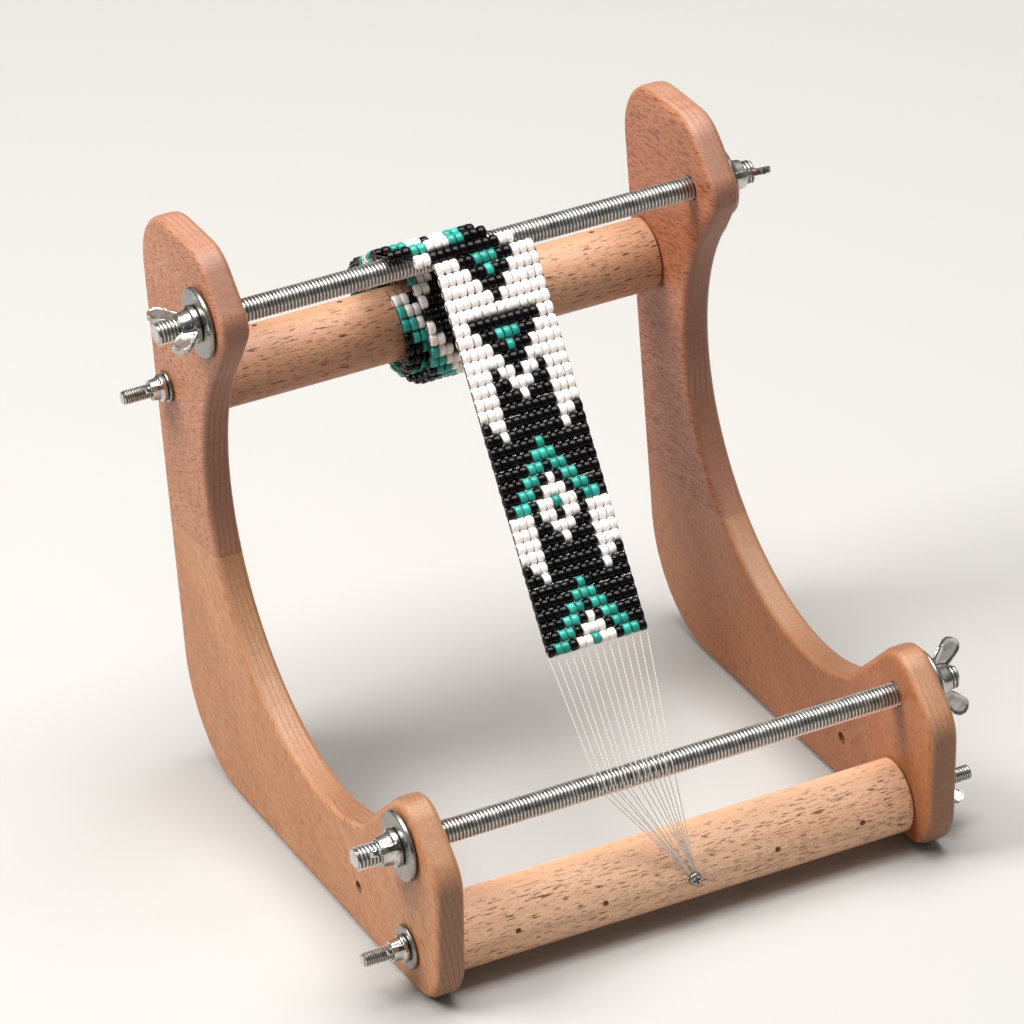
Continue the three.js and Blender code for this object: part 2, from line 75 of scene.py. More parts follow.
def add_node(material, kind, values=None, links=None, stops=(), **settings):
    """Adds a node to a material: its own settings, and its inputs, fixed or linked. Inputs that
    share a name go by number: on a Mix node 0 is the share, 4 and 5 are its two vectors, and 6
    and 7 its two colours. A ramp's stops are pairs of a place and a hex colour."""
    node = material.node_tree.nodes.new(kind)
    for name, value in settings.items():
        setattr(node, name, value)
    for name, value in {**(values or {}), **(links or {})}.items():
        if isinstance(value, bpy.types.NodeSocket):
            material.node_tree.links.new(value, node.inputs[name])
        else:
            node.inputs[name].default_value = value
    for i, (position, colour) in enumerate(stops):
        node.color_ramp.elements[i].position = position
        node.color_ramp.elements[i].color = linear(colour)
    return node


bpy.context.scene.view_settings.view_transform = "Standard"

bpy.ops.object.select_all(action="DESELECT")
bpy.ops.mesh.primitive_plane_add(size=8, location=(0, 0, -0.0002))
floor = bpy.context.object
floor.name = "floor"
paper = bpy.data.materials.new("matt_white_paper")
paper.use_nodes = True
shader = paper.node_tree.nodes["Principled BSDF"]
shader.inputs["Base Color"].default_value = linear("#B4B1AD")
shader.inputs["Roughness"].default_value = 0.9
floor.data.materials.append(paper)

# Each lamp's name, place, width in metres and power in watts.
for name, place, size, power in (
    ("key", (-1.15, 0.3, 1.55), 0.9, 36),
    ("overhead", (0.25, 0, 2), 1.4, 50),
    ("front", (-0.6, -1.9, 1.2), 0.5, 1),
):
    light = bpy.data.objects.new(name, bpy.data.lights.new(name, "AREA"))
    light.data.size = size
    light.data.energy = power
    light.location = place
    light.rotation_euler = (Vector((0, 0, 0.1)) - light.location).to_track_quat("-Z", "Y").to_euler()
    bpy.context.collection.objects.link(light)

surround = bpy.data.worlds.new("surround")
surround.use_nodes = True
backdrop = surround.node_tree.nodes["Background"]
direction = add_node(surround, "ShaderNodeTexCoord")
height = add_node(surround, "ShaderNodeSeparateXYZ", links={"Vector": direction.outputs["Generated"]})
sky = add_node(
    surround, "ShaderNodeValToRGB", links={"Fac": height.outputs["Z"]},
    stops=((0.06, "#77736F"), (0.62, "#FBFAF8")),
)
ahead = add_node(
    surround, "ShaderNodeVectorMath", {1: (-0.35, -0.93, 0.1)}, {0: direction.outputs["Generated"]},
    operation="DOT_PRODUCT",
)
dim = add_node(
    surround, "ShaderNodeMapRange", {"From Min": 0.1, "From Max": 0.75, "To Min": 1, "To Max": 0.32},
    {"Value": ahead.outputs["Value"]},
)
room = add_node(
    surround, "ShaderNodeVectorMath", links={0: sky.outputs[0], "Scale": dim.outputs[0]}, operation="SCALE",
)
surround.node_tree.links.new(room.outputs[0], backdrop.inputs["Color"])
backdrop.inputs["Strength"].default_value = 0.45
bpy.context.scene.world = surround

# Side panels
# Two 10 mm beech boards, each glued up from an upper and a lower piece whose grain runs
# differently, cut to shape, rounded over on every edge, sanded and oiled.
MM = 0.001
# A wave texture of this scale repeats every 2 mm.
RING_SCALE = 157
# Noise cells to a metre: across the board's thickness, along the grain and across it.
PATCH_CELLS = (60, 11, 60)
FIBRE_CELLS = (1700, 60, 1700)
PORE_CELLS = (3600, 1500, 3600)


def start_material(name, roughness, metallic=0.0, ior=1.5):
    """A new material and its shader, with the finish that is the same all over."""
    material = bpy.data.materials.new(name)
    material.use_nodes = True
    shader = material.node_tree.nodes["Principled BSDF"]
    shader.inputs["Roughness"].default_value = roughness
    shader.inputs["Metallic"].default_value = metallic
    if metallic == 0:
        shader.inputs["IOR"].default_value = ior
    return material, shader


def beech_grain(material, place, rings_from, ring_share, tones, fleck, ray_cells, ray_share, sparse):
    """The colour and relief of beech, from its grain coordinates: x through the board's
    thickness, y along the grain. It has growth rings 2 mm apart, fibres, pores, and the short
    dark flecks of the rays, which are flat ribbons: long through the thickness, 3 mm or so
    along the grain and very thin across it. A higher sparse leaves fewer of them."""
    noises = []
    for cells, detail, roughness in (
        (PATCH_CELLS, 2, 0.5), (FIBRE_CELLS, 2, 0.5), (PORE_CELLS, 1, 0.5), (ray_cells, 1, 0.35),
    ):
        stretched = add_node(material, "ShaderNodeVectorMath", {1: cells}, {0: place}, operation="MULTIPLY")
        noises.append(add_node(
            material, "ShaderNodeTexNoise", {"Scale": 1, "Detail": detail, "Roughness": roughness},
            {"Vector": stretched.outputs[0]},
        ))
    patches, fibres, pores, rays = noises
    centred = add_node(material, "ShaderNodeVectorMath", {1: rings_from}, {0: place}, operation="ADD")
    squeezed = add_node(
        material, "ShaderNodeVectorMath", {1: (1, 0.06, 1)}, {0: centred.outputs[0]}, operation="MULTIPLY",
    )
    rings = add_node(
        material, "ShaderNodeTexWave",
        {"Scale": RING_SCALE, "Distortion": 4, "Detail": 3, "Detail Scale": 0.3, "Detail Roughness": 0.6},
        {"Vector": squeezed.outputs[0]}, wave_type="RINGS", rings_direction="Y",
    )
    base = add_node(
        material, "ShaderNodeValToRGB", links={"Fac": patches.outputs[0]},
        stops=((0.32, tones[0]), (0.68, tones[1])),
    )
    late_wood = add_node(
        material, "ShaderNodeMapRange", {"From Min": 0.6, "From Max": 1}, {"Value": rings.outputs["Fac"]},
    )
    late_wood = add_node(
        material, "ShaderNodeMath", links={0: late_wood.outputs[0], 1: ring_share}, operation="MULTIPLY",
    )
    faded = add_node(
        material, "ShaderNodeMapRange", {"From Min": 0.45, "From Max": 0.62, "To Min": 0.1, "To Max": 1},
        {"Value": patches.outputs[0]},
    )
    late_wood = add_node(
        material, "ShaderNodeMath", links={0: late_wood.outputs[0], 1: faded.outputs[0]},
        operation="MULTIPLY",
    )
    ringed = add_node(
        material, "ShaderNodeMix", {7: linear(fleck)}, {0: late_wood.outputs[0], 6: base.outputs[0]},
        data_type="RGBA",
    )
    fibre_tone = add_node(
        material, "ShaderNodeMapRange", {"From Min": 0.3, "From Max": 0.7, "To Min": 0.93, "To Max": 1.06},
        {"Value": fibres.outputs[0]},
    )
    pore_tone = add_node(
        material, "ShaderNodeMapRange", {"From Min": 0.3, "From Max": 0.7, "To Min": 0.85, "To Max": 1.13},
        {"Value": pores.outputs[0]},
    )
    fine = add_node(
        material, "ShaderNodeMath", links={0: fibre_tone.outputs[0], 1: pore_tone.outputs[0]},
        operation="MULTIPLY",
    )
    fibred = add_node(
        material, "ShaderNodeVectorMath", links={0: ringed.outputs[2], "Scale": fine.outputs[0]},
        operation="SCALE",
    )
    dash = add_node(
        material, "ShaderNodeMapRange", {"From Min": sparse, "From Max": sparse + 0.06},
        {"Value": rays.outputs[0]},
    )
    dash = add_node(
        material, "ShaderNodeMath", links={0: dash.outputs[0], 1: ray_share}, operation="MULTIPLY",
    )
    flecked = add_node(
        material, "ShaderNodeMix", {7: linear(fleck)}, {0: dash.outputs[0], 6: fibred.outputs[0]},
        data_type="RGBA",
    )
    relief = add_node(
        material, "ShaderNodeMath", links={0: pores.outputs[0], 1: dash.outputs[0]}, operation="SUBTRACT",
    )
    return flecked.outputs[2], relief.outputs[0]


UPPER_SLOPE = math.radians(6)
LOWER_SLOPE = math.radians(-43)
GLUE_LINE_LEFT = 96.1 * MM
GLUE_LINE_RIGHT = 65.5 * MM

# Oiled and sanded, the boards have a soft sheen that the pores break up.
oiled_beech, shader = start_material("oiled_beech_board", 0.5)
coordinates = add_node(oiled_beech, "ShaderNodeTexCoord")
spot = add_node(oiled_beech, "ShaderNodeSeparateXYZ", links={"Vector": coordinates.outputs["Object"]})
facing = add_node(oiled_beech, "ShaderNodeSeparateXYZ", links={"Vector": coordinates.outputs["Normal"]})
on_right = add_node(
    oiled_beech, "ShaderNodeMapRange", {"From Min": -0.01, "From Max": 0.01}, {"Value": spot.outputs["X"]},
)
# The upper board's grain runs from front to back and the glue line under it rises 4 degrees
# to the front, 96 mm up in the left panel and lower in the right one. The lower board's grain
# follows the panel's slope.
above = add_node(
    oiled_beech, "ShaderNodeVectorMath", {1: (0, 0.073, 0.997)}, {0: coordinates.outputs["Object"]},
    operation="DOT_PRODUCT",
)
glue_height = add_node(
    oiled_beech, "ShaderNodeMapRange", {"To Min": GLUE_LINE_LEFT, "To Max": GLUE_LINE_RIGHT},
    {"Value": on_right.outputs[0]},
)
over_glue = add_node(
    oiled_beech, "ShaderNodeMath", links={0: above.outputs["Value"], 1: glue_height.outputs[0]},
    operation="SUBTRACT",
)
upper_share = add_node(
    oiled_beech, "ShaderNodeMapRange", {"From Min": -0.0003, "From Max": 0.0003},
    {"Value": over_glue.outputs[0]},
)
upper = add_node(
    oiled_beech, "ShaderNodeMapping", {"Rotation": (UPPER_SLOPE, 0, 0), "Location": (0.4, 0, -0.14)},
    {"Vector": coordinates.outputs["Object"]},
)
lower = add_node(
    oiled_beech, "ShaderNodeMapping", {"Rotation": (LOWER_SLOPE, 0, 0), "Location": (0.31, 0.4, 0.06)},
    {"Vector": coordinates.outputs["Object"]},
)
along_grain = add_node(
    oiled_beech, "ShaderNodeMix",
    links={0: upper_share.outputs[0], 4: lower.outputs[0], 5: upper.outputs[0]}, data_type="VECTOR",
)
# The rings lie nearly flat in the boards, so they are faint on the faces and show on the
# edges as thin lines that run along them.
flat_face = add_node(oiled_beech, "ShaderNodeMath", links={0: facing.outputs["X"]}, operation="ABSOLUTE")
ring_share = add_node(
    oiled_beech, "ShaderNodeMapRange", {"From Min": 0.55, "From Max": 0.95, "To Min": 0.36, "To Max": 0.1},
    {"Value": flat_face.outputs[0]},
)
ray_share = add_node(
    oiled_beech, "ShaderNodeMapRange", {"To Min": 0.5, "To Max": 0.75}, {"Value": upper_share.outputs[0]},
)
on_edge = add_node(
    oiled_beech, "ShaderNodeMapRange", {"From Min": 0.6, "From Max": 0.95, "To Min": 0.2, "To Max": 1},
    {"Value": flat_face.outputs[0]},
)
ray_share = add_node(
    oiled_beech, "ShaderNodeMath", links={0: ray_share.outputs[0], 1: on_edge.outputs[0]},
    operation="MULTIPLY",
)
colour, relief = beech_grain(
    oiled_beech, along_grain.outputs[1], (0.35, 0, -0.02), ring_share.outputs[0],
    ("#B68162", "#C49273"), "#80401F", (150, 310, 2300), ray_share.outputs[0], 0.54,
)
# The lower boards are a little more orange. The right panel's faces get a duller, darker tint,
# which is painted shade.
plank = add_node(
    oiled_beech, "ShaderNodeMix", {6: linear("#FFF3D6"), 7: linear("#F9EADF")}, {0: upper_share.outputs[0]},
    data_type="RGBA",
)
toned = add_node(
    oiled_beech, "ShaderNodeMix", {0: 1.0}, {6: colour, 7: plank.outputs[2]}, data_type="RGBA",
    blend_type="MULTIPLY",
)
# Painted shade: a darker, duller tint on the right panel's faces.
right_face_shade = add_node(
    oiled_beech, "ShaderNodeMapRange", {"From Min": 0.5, "From Max": 0.95},
    {"Value": flat_face.outputs[0], "To Max": on_right.outputs[0]},
)
# The edges are cut through the rings and look greyer than the faces.
sawn_share = add_node(
    oiled_beech, "ShaderNodeMapRange", {"From Min": 0.5, "From Max": 0.95, "To Min": 1, "To Max": 0},
    {"Value": flat_face.outputs[0]},
)
# Cut across the grain the wood takes up more oil and turns a darker brown. The tint is made deeper
# than that as painted shade, most of all in the lower boards, whose front edges the light hardly reaches.
upper_grain = (0, math.cos(UPPER_SLOPE), -math.sin(UPPER_SLOPE))
lower_grain = (0, math.cos(LOWER_SLOPE), -math.sin(LOWER_SLOPE))
grain_way = add_node(
    oiled_beech, "ShaderNodeMix", {4: lower_grain, 5: upper_grain}, {0: upper_share.outputs[0]},
    data_type="VECTOR",
)
cut_across = add_node(
    oiled_beech, "ShaderNodeVectorMath", links={0: coordinates.outputs["Normal"], 1: grain_way.outputs[1]},
    operation="DOT_PRODUCT",
)
cut_across = add_node(
    oiled_beech, "ShaderNodeMath", {1: 2}, {0: cut_across.outputs["Value"]}, operation="POWER",
)
# How dark the end grain is painted, real oil uptake and painted shade together.
end_grain_and_shade_depth = add_node(
    oiled_beech, "ShaderNodeMapRange", {"To Min": 0.42, "To Max": 0.28}, {"Value": upper_share.outputs[0]},
)
end_grain_and_shade = add_node(
    oiled_beech, "ShaderNodeMapRange", {"From Min": 0.2, "From Max": 0.55},
    {"Value": cut_across.outputs[0], "To Max": end_grain_and_shade_depth.outputs[0]},
)
# The three tints lie over one another: painted shade on the right panel's faces, greyer edges,
# and darker end grain deepened with painted shade.
for tint, share in (("#F2E1D3", right_face_shade), ("#E4EEFF", sawn_share), ("#8E7463", end_grain_and_shade)):
    toned = add_node(
        oiled_beech, "ShaderNodeMix", {7: linear(tint)}, {0: share.outputs[0], 6: toned.outputs[2]},
        data_type="RGBA", blend_type="MULTIPLY",
    )
# The glue line itself is a thin dark line.
glue = add_node(
    oiled_beech, "ShaderNodeMath", {1: 0, 2: 0.00025}, {0: over_glue.outputs[0]}, operation="COMPARE",
)
glue_share = add_node(oiled_beech, "ShaderNodeMath", {1: 0.3}, {0: glue.outputs[0]}, operation="MULTIPLY")
glued = add_node(
    oiled_beech, "ShaderNodeMix", {7: linear("#7A4C34")},
    {0: glue_share.outputs[0], 6: toned.outputs[2]}, data_type="RGBA",
)
bump = add_node(oiled_beech, "ShaderNodeBump", {"Strength": 0.35, "Distance": 0.0001}, {"Height": relief})
oiled_beech.node_tree.links.new(glued.outputs[2], shader.inputs["Base Color"])
oiled_beech.node_tree.links.new(bump.outputs[0], shader.inputs["Normal"])


def finish_cad_node(node, material):
    """Gives a CAD node its real material, and shades its facets as the curves they stand for."""
    node.data.materials.clear()
    node.data.materials.append(material)
    node.data.polygons.foreach_set("use_smooth", [True] * len(node.data.polygons))
    for name in ("custom_normal", "sharp_face", "sharp_edge"):
        if name in node.data.attributes:
            node.data.attributes.remove(node.data.attributes[name])
    weld = node.modifiers.new("weld", "WELD")
    weld.merge_threshold = 0.000002
    split = node.modifiers.new("sharp_corners", "EDGE_SPLIT")
    split.split_angle = math.radians(42)
    flat = node.modifiers.new("flat_faces_stay_flat", "WEIGHTED_NORMAL")
    flat.keep_sharp = True


for name in ("left_panel", "right_panel"):
    finish_cad_node(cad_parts[name], oiled_beech)

# Turning dowels
# Two 25 mm dowels of paler unoiled beech, turned with the grain along them, so the rays show
# as short dark dashes, and as broad ovals where they lie flat in the surface. A row of small
# holes takes the warp screw.
RAY_TILT = math.radians(14)

# Turned and left bare, the dowels are duller and paler than the boards.
pale_beech, shader = start_material("turned_beech_dowel", 0.55)
coordinates = add_node(pale_beech, "ShaderNodeTexCoord")
# Grain coordinates: y along the dowel, x the way the rays go, which is forward and a little up.
lengthways = add_node(
    pale_beech, "ShaderNodeMapping", {"Rotation": (0, 0, math.radians(90))},
    {"Vector": coordinates.outputs["Object"]},
)
turned_grain = add_node(
    pale_beech, "ShaderNodeMapping", {"Rotation": (0, RAY_TILT, 0)}, {"Vector": lengthways.outputs[0]},
)
# Where the surface lies along the rays they are broad but soft, and cut through they are thin
# and dark.
cut_through = add_node(
    pale_beech, "ShaderNodeVectorMath", {1: (0, -math.cos(RAY_TILT), math.sin(RAY_TILT))},
    {0: coordinates.outputs["Normal"]}, operation="DOT_PRODUCT",
)
cut_through = add_node(
    pale_beech, "ShaderNodeMath", links={0: cut_through.outputs["Value"]}, operation="ABSOLUTE",
)
ray_share = add_node(
    pale_beech, "ShaderNodeMapRange", {"From Min": 0.3, "From Max": 0.75, "To Min": 0.22, "To Max": 0.9},
    {"Value": cut_through.outputs[0]},
)
colour, relief = beech_grain(
    pale_beech, turned_grain.outputs[0], (0.06, 0, 0.01), 0.13,
    ("#E0AB86", "#EDC09D"), "#673A1F", (230, 250, 2900), ray_share.outputs[0], 0.605,
)
# The rear dowel is painted darker, as shade, since it gets less light than the front one.
spot = add_node(pale_beech, "ShaderNodeSeparateXYZ", links={"Vector": coordinates.outputs["Object"]})
rear_dowel_shade = add_node(
    pale_beech, "ShaderNodeMapRange", {"From Min": -0.01, "From Max": 0.01}, {"Value": spot.outputs["Y"]},
)
toned = add_node(
    pale_beech, "ShaderNodeMix", {7: linear("#D1C5BD")}, {0: rear_dowel_shade.outputs[0], 6: colour},
    data_type="RGBA", blend_type="MULTIPLY",
)
bump = add_node(pale_beech, "ShaderNodeBump", {"Strength": 0.3, "Distance": 0.0001}, {"Height": relief})
pale_beech.node_tree.links.new(toned.outputs[2], shader.inputs["Base Color"])
pale_beech.node_tree.links.new(bump.outputs[0], shader.inputs["Normal"])
for name in ("rear_dowel", "front_dowel"):
    finish_cad_node(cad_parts[name], pale_beech)

# Threaded rods
# Two M8 rods of zinc plated steel, threaded from end to end, that hold the panels apart. The
# colour is painted darker down in the thread, as shade, and brighter on the crests.
ROD_LENGTH = 215 * MM
# Where the rods and the dowels' bolts cross the panels, in (y, z) millimetres as drilled, and
# how far the drilled panels are moved to stand the whole loom over the origin.
REAR_ROD = (52, 184)
FRONT_ROD = (-79, 55)
REAR_DOWEL = (90, 144)
FRONT_DOWEL = (-76.5, 16)
LOOM_SHIFT = -5.3 * MM


def placed(spot):
    """A point in (y, z) millimetres as drilled, in the loom's place and in metres."""
    y, z = spot
    return y * MM + LOOM_SHIFT, z * MM


zinc_thread, shader = start_material("zinc_plated_steel_thread", 0.24, metallic=1)
coordinates = add_node(zinc_thread, "ShaderNodeTexCoord")
crest = add_node(zinc_thread, "ShaderNodeAttribute", attribute_name="crest")
plating = add_node(
    zinc_thread, "ShaderNodeTexNoise", {"Scale": 300, "Detail": 3},
    {"Vector": coordinates.outputs["Object"]},
)
# Painted shade: the colour is darker towards the root of the thread and bright on the crests.
tone = add_node(
    zinc_thread, "ShaderNodeValToRGB", links={"Fac": crest.outputs["Fac"]},
    stops=((0.15, "#93908B"), (0.85, "#DFDDDA")),
)
clouded = add_node(
    zinc_thread, "ShaderNodeMapRange", {"From Min": 0.3, "From Max": 0.7, "To Min": 0.82, "To Max": 1.08},
    {"Value": plating.outputs[0]},
)
thread_shade_and_clouds = add_node(
    zinc_thread, "ShaderNodeVectorMath", links={0: tone.outputs[0], "Scale": clouded.outputs[0]},
    operation="SCALE",
)
dull = add_node(
    zinc_thread, "ShaderNodeMapRange", {"From Min": 0.3, "From Max": 0.75, "To Min": 0.26, "To Max": 0.42},
    {"Value": plating.outputs[0]},
)
zinc_thread.node_tree.links.new(thread_shade_and_clouds.outputs[0], shader.inputs["Base Color"])
zinc_thread.node_tree.links.new(dull.outputs[0], shader.inputs["Roughness"])


def threaded_bar(name, length, diameter, pitch, steps):
    """A threaded bar along X from the origin. One turn's outline is drawn point by point,
    screwed along the axis, sawn flat at both ends and chamfered. It starts at a place where no
    ring of points lies in the saw cuts. How near a point is to the crest of the thread is kept
    with it, for the shade painted down in the thread."""
    radius = diameter / 2
    depth = 0.58 * pitch
    bpy.ops.object.select_all(action="DESELECT")
    bpy.ops.mesh.primitive_plane_add(size=pitch)
    bar = bpy.context.object
    bar.name = name
    bpy.ops.object.mode_set(mode="EDIT")
    bpy.ops.mesh.select_all(action="SELECT")
    bpy.ops.mesh.merge(type="CENTER")
    bpy.ops.transform.translate(value=(-1.475 * pitch, 0, radius - depth))
    for along, out in ((0.2, 0), (0.3, depth), (0.2, 0), (0.3, -depth)):
        bpy.ops.mesh.extrude_region_move(TRANSFORM_OT_translate={"value": (along * pitch, 0, out)})
    bpy.ops.object.mode_set(mode="OBJECT")
    turns = bar.modifiers.new("turns", "SCREW")
    turns.axis = "X"
    turns.screw_offset = pitch
    turns.iterations = math.ceil(length / pitch) + 3
    turns.steps = steps
    turns.render_steps = steps
    turns.use_merge_vertices = True
    turns.merge_threshold = 0.00001
    bpy.ops.object.modifier_apply(modifier="turns")
    bpy.ops.object.mode_set(mode="EDIT")
    bpy.ops.mesh.select_all(action="SELECT")
    bpy.ops.mesh.remove_doubles(threshold=0.00001)
    for end, way in ((0, -1), (length, 1)):
        bpy.ops.mesh.select_all(action="SELECT")
        bpy.ops.mesh.bisect(
            plane_co=(end, 0, 0), plane_no=(way, 0, 0), use_fill=True, clear_outer=True,
            threshold=0.0000001,
        )
    bpy.ops.mesh.select_all(action="SELECT")
    bpy.ops.mesh.normals_make_consistent(inside=False)
    for end in (0, length):
        bpy.ops.mesh.select_all(action="DESELECT")
        mesh = bmesh.from_edit_mesh(bar.data)
        for vertex in mesh.verts:
            vertex.select = abs(vertex.co.x - end) < pitch * 0.45
        mesh.select_flush(True)
        bmesh.update_edit_mesh(bar.data)
        bpy.ops.transform.resize(value=(1, 0.86, 0.86), center_override=(end, 0, 0))
    bpy.ops.object.mode_set(mode="OBJECT")
    crest = bar.data.attributes.new("crest", "FLOAT", "POINT")
    out = [(math.hypot(v.co.y, v.co.z) - radius + depth) / depth for v in bar.data.vertices]
    sawn = [min(v.co.x, length - v.co.x) < 0.1 * pitch for v in bar.data.vertices]
    out = [0.7 if end else share for end, share in zip(sawn, out)]
    crest.data.foreach_set("value", [min(max(share, 0.0), 1.0) for share in out])
    bpy.ops.object.shade_smooth_by_angle(angle=math.radians(28))
    return bar


def copy_piece(piece, name, matrix):
    """A copy of a finished piece with its own mesh, put in its place in the mesh itself."""
    made = piece.copy()
    made.data = piece.data.copy()
    made.name = name
    made.data.transform(matrix)
    bpy.context.collection.objects.link(made)
    return made


def at_end(spot, side):
    """The place of a piece that is made for the right end of a rod or dowel, at either end."""
    turn = math.pi if side == "left" else 0
    return Matrix.Translation((0, *placed(spot))) @ Matrix.Rotation(turn, 4, "Z")


def dress(piece, material, slot, body, *nodes):
    """The finish of a piece, the body it moves with and the CAD nodes it stands for."""
    piece.data.materials.clear()
    piece.data.materials.append(material)
    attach(piece, body)
    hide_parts(*nodes)


rod = threaded_bar("rod", ROD_LENGTH, diameter=8 * MM, pitch=1.25 * MM, steps=20)
for name, spot, shift in (("rear_rod", REAR_ROD, -2 * MM), ("front_rod", FRONT_ROD, -2.5 * MM)):
    piece = copy_piece(rod, f"{name}_thread", Matrix.Translation((shift - ROD_LENGTH / 2, *placed(spot))))
    dress(piece, zinc_thread, "threaded_steel", name, name)
bpy.data.objects.remove(rod)

# Hanger bolts
# Four M5 bolts, glued and screwed into the ends of the dowels. The outer end has a machine
# thread for the wing nut, and the end inside the wood tapers to a point.
OUTER_FACE = 93 * MM
BOLT_PROUD = 16.5 * MM
THREADED = 30 * MM


def select_faces(piece, wanted):
    """Selects, in edit mode, the faces for which wanted(normal, middle) is true."""
    bpy.ops.mesh.select_all(action="DESELECT")
    mesh = bmesh.from_edit_mesh(piece.data)
    for face in mesh.faces:
        if wanted(face.normal, face.calc_center_median()):
            face.select_set(True)
    bmesh.update_edit_mesh(piece.data)


bolt = threaded_bar("bolt", THREADED, diameter=5 * MM, pitch=0.8 * MM, steps=16)
bpy.ops.object.mode_set(mode="EDIT")
select_faces(bolt, lambda normal, middle: normal.x < -0.99 and middle.x < 0.1 * MM)
for reach, share in ((2 * MM, 1.12), (9 * MM, 1), (9 * MM, 0.45)):
    bpy.ops.mesh.extrude_region_move(TRANSFORM_OT_translate={"value": (-reach, 0, 0)})
    bpy.ops.transform.resize(value=(1, share, share), center_override=(0, 0, 0))
bpy.ops.object.mode_set(mode="OBJECT")
bolt.data.transform(Matrix.Translation((OUTER_FACE + BOLT_PROUD - THREADED, 0, 0)))
for name, spot in (("rear", REAR_DOWEL), ("front", FRONT_DOWEL)):
    for side in ("left", "right"):
        piece = copy_piece(bolt, f"{name}_bolt_{side}_thread", at_end(spot, side))
        dress(piece, zinc_thread, "threaded_steel", f"{name}_roller", f"{name}_dowel_bolt_{side}")
bpy.data.objects.remove(bolt)

# Washers
# Punched flat from sheet steel and zinc plated: 24 mm ones under the rods' wing nuts, 15 mm
# ones at the front dowel and 11 mm ones at the rear dowel. The punch leaves a rounded rim.
SEAT_GAP = 0.3 * MM
LARGE_THICKNESS = 2 * MM
SMALL_THICKNESS = 1.2 * MM


def mottled_metal(name, roughness, cloud_scale, detail, stops, dent_share=0, dent_depth=0):
    """A metal whose tone goes between two stops from place to place, and its height with it."""
    material, shader = start_material(name, roughness, metallic=1)
    coordinates = add_node(material, "ShaderNodeTexCoord")
    clouds = add_node(
        material, "ShaderNodeTexNoise", {"Scale": cloud_scale, "Detail": detail},
        {"Vector": coordinates.outputs["Object"]},
    )
    tone = add_node(material, "ShaderNodeValToRGB", links={"Fac": clouds.outputs[0]}, stops=stops)
    material.node_tree.links.new(tone.outputs[0], shader.inputs["Base Color"])
    if dent_depth > 0:
        dents = add_node(
            material, "ShaderNodeBump", {"Strength": dent_share, "Distance": dent_depth},
            {"Height": clouds.outputs[0]},
        )
        material.node_tree.links.new(dents.outputs[0], shader.inputs["Normal"])
    return material, shader, clouds


# Grey and a little cloudy, with soft reflections that change from place to place.
bright_zinc, shader, clouds = mottled_metal(
    "bright_zinc_plate", 0.3, 240, 4, ((0.3, "#85827E"), (0.68, "#A5A29E")), 0.15, 0.0002,
)
dull = add_node(
    bright_zinc, "ShaderNodeMapRange", {"From Min": 0.3, "From Max": 0.7, "To Min": 0.22, "To Max": 0.4},
    {"Value": clouds.outputs[0]},
)
bright_zinc.node_tree.links.new(dull.outputs[0], shader.inputs["Roughness"])


def round_bar(name, sides, diameter, start, end):
    """A plain round bar along X, from start to end."""
    bpy.ops.object.select_all(action="DESELECT")
    bpy.ops.mesh.primitive_cylinder_add(
        vertices=sides, radius=diameter / 2, depth=end - start, location=((start + end) / 2, 0, 0),
        rotation=(0, math.pi / 2, 0),
    )
    bar = bpy.context.object
    bar.name = name
    bpy.ops.object.transform_apply(location=True, rotation=True, scale=True)
    return bar


def select_rims(piece, least_radius):
    """Selects, in edit mode, the edges that run round X, from a radius outwards."""
    bpy.ops.mesh.select_all(action="DESELECT")
    mesh = bmesh.from_edit_mesh(piece.data)
    for edge in mesh.edges:
        start, end = (vertex.co for vertex in edge.verts)
        if abs(start.x - end.x) < 1e-6 and ((start + end) / 2).yz.length > least_radius:
            edge.select_set(True)
    bmesh.update_edit_mesh(piece.data)


def washer(name, outer, bore, thickness):
    """A washer from x = 0: a disc whose two faces are inset to the bore and bridged."""
    piece = round_bar(name, 64, outer, 0, thickness)
    bpy.ops.object.mode_set(mode="EDIT")
    select_faces(piece, lambda normal, middle: abs(normal.x) > 0.99)
    bpy.ops.mesh.inset(thickness=outer / 2 - bore / 2, use_individual=True)
    bpy.ops.mesh.bridge_edge_loops()
    select_rims(piece, outer * 0.49)
    bpy.ops.mesh.bevel(offset=thickness * 0.46, segments=4)
    bpy.ops.object.mode_set(mode="OBJECT")
    bpy.ops.object.shade_smooth_by_angle(angle=math.radians(35))
    return piece


large_washer = washer("large_washer", 24 * MM, 8.6 * MM, LARGE_THICKNESS)
wide_washer = washer("wide_washer", 15 * MM, 5.6 * MM, SMALL_THICKNESS)
plain_washer = washer("plain_washer", 11 * MM, 5.6 * MM, SMALL_THICKNESS)
washer_places = (
    ("rear_rod", REAR_ROD, large_washer),
    ("front_rod", FRONT_ROD, large_washer),
    ("rear_dowel", REAR_DOWEL, plain_washer),
    ("front_dowel", FRONT_DOWEL, wide_washer),
)
for name, spot, kind in washer_places:
    for side in ("left", "right"):
        place = at_end(spot, side) @ Matrix.Translation((OUTER_FACE + SEAT_GAP, 0, 0))
        piece = copy_piece(kind, f"{name}_washer_{side}_plated", place)
        dress(piece, bright_zinc, "plated_hardware", f"{name}_washer_{side}", f"{name}_washer_{side}")
for kind in (large_washer, wide_washer, plain_washer):
    bpy.data.objects.remove(kind)

# Wing nuts
# Cast zinc alloy, plated bright: a round hub that narrows away from its foot, and two flat
# wings with a raised rim that flare out of it to rounded tips. M8 on the rods and M5 on the
# dowels' bolts. The casting leaves soft corners and slightly dented faces.
cast_zinc, *_ = mottled_metal(
    "bright_zinc_die_casting", 0.22, 260, 1, ((0.3, "#A6A39F"), (0.66, "#D6D4D0")), 0.22, 0.0004,
)


def join_to(first, others):
    """Makes one piece of several, under the name of the first."""
    bpy.ops.object.select_all(action="DESELECT")
    for piece in (first, *others):
        piece.select_set(True)
    bpy.context.view_layer.objects.active = first
    bpy.ops.object.join()


